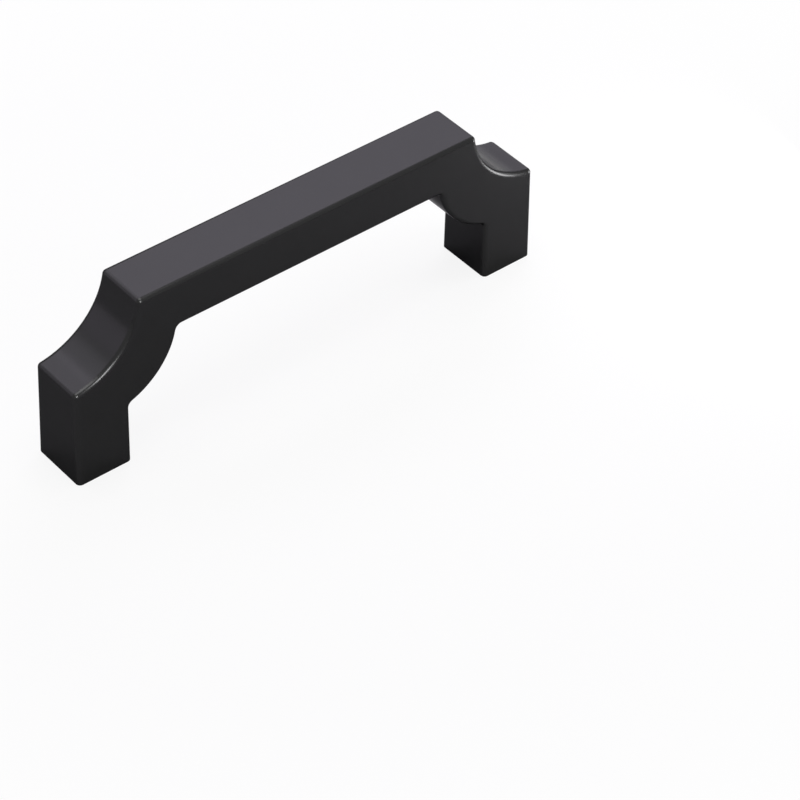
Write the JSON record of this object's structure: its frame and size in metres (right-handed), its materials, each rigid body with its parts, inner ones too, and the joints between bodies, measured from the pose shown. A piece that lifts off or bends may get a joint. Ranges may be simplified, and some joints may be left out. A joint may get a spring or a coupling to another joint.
{
  "type": "bar pull",
  "caption": "One-piece cast bar pull for a cabinet door or drawer: a square bar on square feet, hollow quarter-round outer corners and bulged inner corners, with a tapped hole in each foot.",
  "frame": {"origin": "midway between the two feet's end faces, on the plane that meets the door or drawer front", "axes": "+X along the bar, +Y across it, +Z away from the door or drawer front"},
  "size_m": [0.1078, 0.0126, 0.0354],
  "materials": {
    "satin_black_finish": "smooth satin black powder coat on cast zinc alloy"
  },
  "bodies": {
    "root": {"pull_body": "satin_black_finish"}
  },
  "joints": []
}
